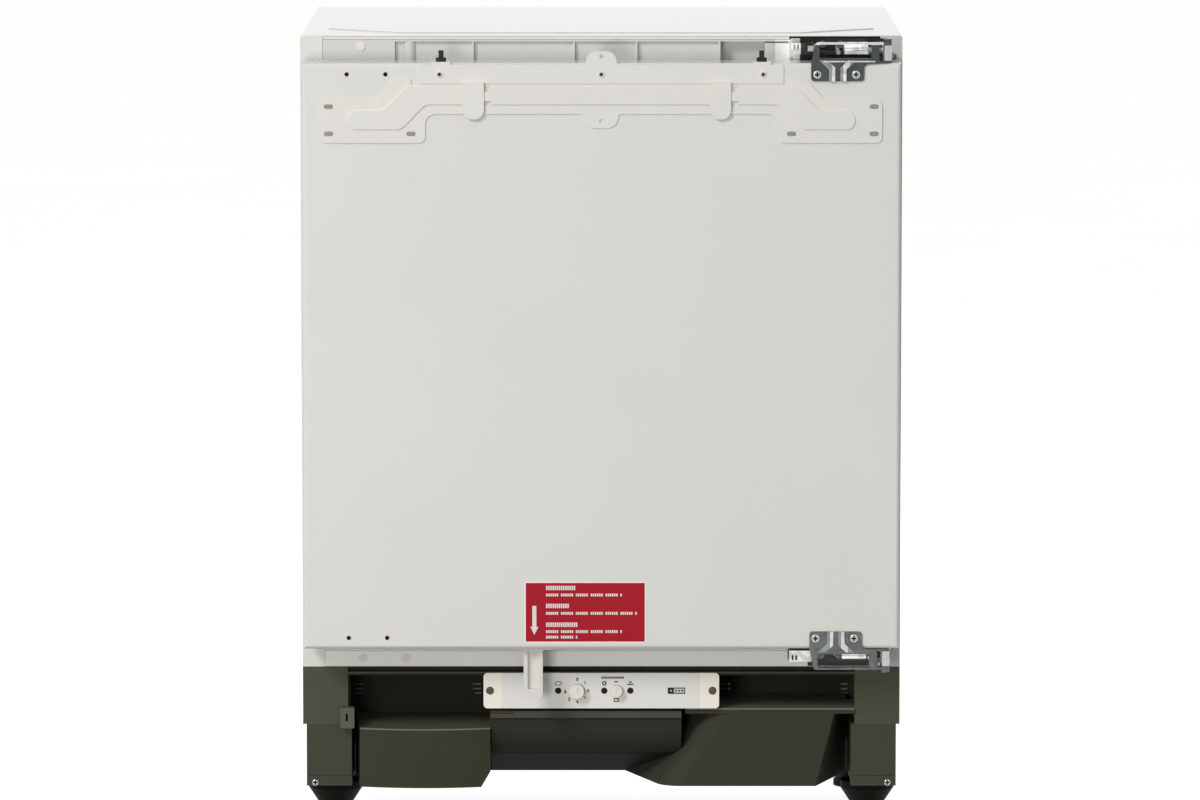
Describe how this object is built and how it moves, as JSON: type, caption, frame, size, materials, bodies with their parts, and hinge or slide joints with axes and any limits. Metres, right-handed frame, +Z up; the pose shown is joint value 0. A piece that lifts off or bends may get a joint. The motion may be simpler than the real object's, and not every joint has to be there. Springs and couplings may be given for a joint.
{
  "type": "built-in freezer",
  "caption": "Built-under freezer: insulated cabinet on a vented base with adjustable feet, a door on multi-link hinges with fittings for a furniture front, and a control panel below.",
  "frame": {"origin": "middle of the footprint on the floor, under the centre of the bounding box", "axes": "+Z up, -Y is the front, +X to the right seen from the front"},
  "size_m": [0.596, 0.5494, 0.815],
  "materials": {
    "white_enamel": "semi-gloss",
    "galvanised_steel": "satin",
    "zinc_screw": "satin",
    "white_plastic": "satin",
    "liner_plastic": "gloss",
    "foam": "matte",
    "gasket_rubber": "matte",
    "base_plastic": "matte",
    "clip_plastic": "matte",
    "foot_plastic": "satin",
    "knob_plastic": "satin",
    "lens_plastic": "gloss",
    "drawer_plastic": "gloss",
    "evaporator_aluminium": "satin",
    "black_enamel": "semi-gloss",
    "copper": "satin",
    "black_rubber": "matte",
    "magnet": "matte",
    "board": "satin",
    "switch_plastic": "matte"
  },
  "bodies": {
    "cabinet": {"cabinet_wrap": "white_enamel", "cabinet_bottom": "galvanised_steel", "back_panel": "galvanised_steel", "hinge_cabinet_leaves": "galvanised_steel", "compressor_plate": "galvanised_steel", "cabinet_hinge_pins": "zinc_screw", "hinge_cabinet_screws": "zinc_screw", "panel_screws": "zinc_screw", "leg_screws": "zinc_screw", "top_rail": "white_plastic", "bottom_rail": "white_plastic", "screw_caps": "white_plastic", "control_fascia": "white_plastic", "inner_liner": "liner_plastic", "insulation_foam": "foam", "base_side_left": "base_plastic", "base_side_right": "base_plastic", "base_deck": "base_plastic", "vent_back_wall": "base_plastic", "intake_scoop": "base_plastic", "recess_panel": "base_plastic", "outlet_chute": "base_plastic", "control_housing": "base_plastic", "grille_clip": "clip_plastic", "indicator_lenses": "lens_plastic", "drawer_baskets": "drawer_plastic", "drawer_fronts": "drawer_plastic", "evaporator_shelves": "evaporator_aluminium", "compressor": "black_enamel", "condenser_tube": "black_enamel", "condenser_wires": "black_enamel", "filter_drier": "copper", "pipework": "copper", "compressor_mounts": "black_rubber", "cord_gland": "black_rubber", "control_board": "board", "thermostat_switch": "switch_plastic", "selector_switch": "switch_plastic", "compressor_terminal_box": "switch_plastic", "condenser_brackets": "switch_plastic"},
    "door": {"hinge_door_leaves": "galvanised_steel", "door_hinge_pins": "zinc_screw", "door_front_screws": "zinc_screw", "door_skin": "white_enamel", "door_foam": "foam", "door_liner": "liner_plastic", "door_gasket": "gasket_rubber", "decor_rail": "galvanised_steel", "height_adjuster_studs": "zinc_screw", "alarm_magnet_arm": "white_plastic", "alarm_magnet": "magnet"},
    "hinge_main_arms": {"hinge_main_arms": "galvanised_steel"},
    "hinge_guide_arms": {"hinge_guide_arms": "galvanised_steel"},
    "decor_carrier": {"decor_carrier": "galvanised_steel"},
    "thermostat_knob": {"thermostat_knob": "knob_plastic"},
    "selector_knob": {"selector_knob": "knob_plastic"},
    "foot_front_left": {"foot_front_left": "foot_plastic"},
    "foot_front_right": {"foot_front_right": "foot_plastic"},
    "foot_rear_left": {"foot_rear_left": "foot_plastic"},
    "foot_rear_right": {"foot_rear_right": "foot_plastic"}
  },
  "joints": [
    {"name": "main_arm_swing", "type": "hinge", "parent": "cabinet", "child": "hinge_main_arms", "pos_m": [0.26869, -0.24338, 0.5005], "axis": [0, 0, 1], "range_deg": [0, 33.7]},
    {"name": "door_swing", "type": "hinge", "parent": "hinge_main_arms", "child": "door", "pos_m": [0.28066, -0.26577, 0.5005], "axis": [0, 0, 1], "range_deg": [0, 76.34]},
    {"name": "guide_arm_swing", "type": "hinge", "parent": "cabinet", "child": "hinge_guide_arms", "pos_m": [0.2782, -0.253, 0.5005], "axis": [0, 0, 1], "range_deg": [0, 131.2]},
    {"name": "carrier_slide", "type": "slide", "parent": "door", "child": "decor_carrier", "axis": [1, 0, 0], "range_m": [0, 0.006]},
    {"name": "thermostat_turn", "type": "hinge", "parent": "cabinet", "child": "thermostat_knob", "pos_m": [-0.0245, -0.21818, 0.1602], "axis": [0, 1, 0], "range_deg": [0, 270]},
    {"name": "selector_turn", "type": "hinge", "parent": "cabinet", "child": "selector_knob", "pos_m": [0.015, -0.21818, 0.1602], "axis": [0, 1, 0], "range_deg": [-60, 60]},
    {"name": "foot_front_left_height", "type": "slide", "parent": "cabinet", "child": "foot_front_left", "axis": [0, 0, -1], "range_m": [0, 0.05]},
    {"name": "foot_front_right_height", "type": "slide", "parent": "cabinet", "child": "foot_front_right", "axis": [0, 0, -1], "range_m": [0, 0.05]},
    {"name": "foot_rear_left_height", "type": "slide", "parent": "cabinet", "child": "foot_rear_left", "axis": [0, 0, -1], "range_m": [0, 0.05]},
    {"name": "foot_rear_right_height", "type": "slide", "parent": "cabinet", "child": "foot_rear_right", "axis": [0, 0, -1], "range_m": [0, 0.05]}
  ],
  "couplings": [
    {"joint": "main_arm_swing", "follows": "door_swing", "ratio": 0.44092},
    {"joint": "guide_arm_swing", "follows": "door_swing", "ratio": 1.7176}
  ]
}
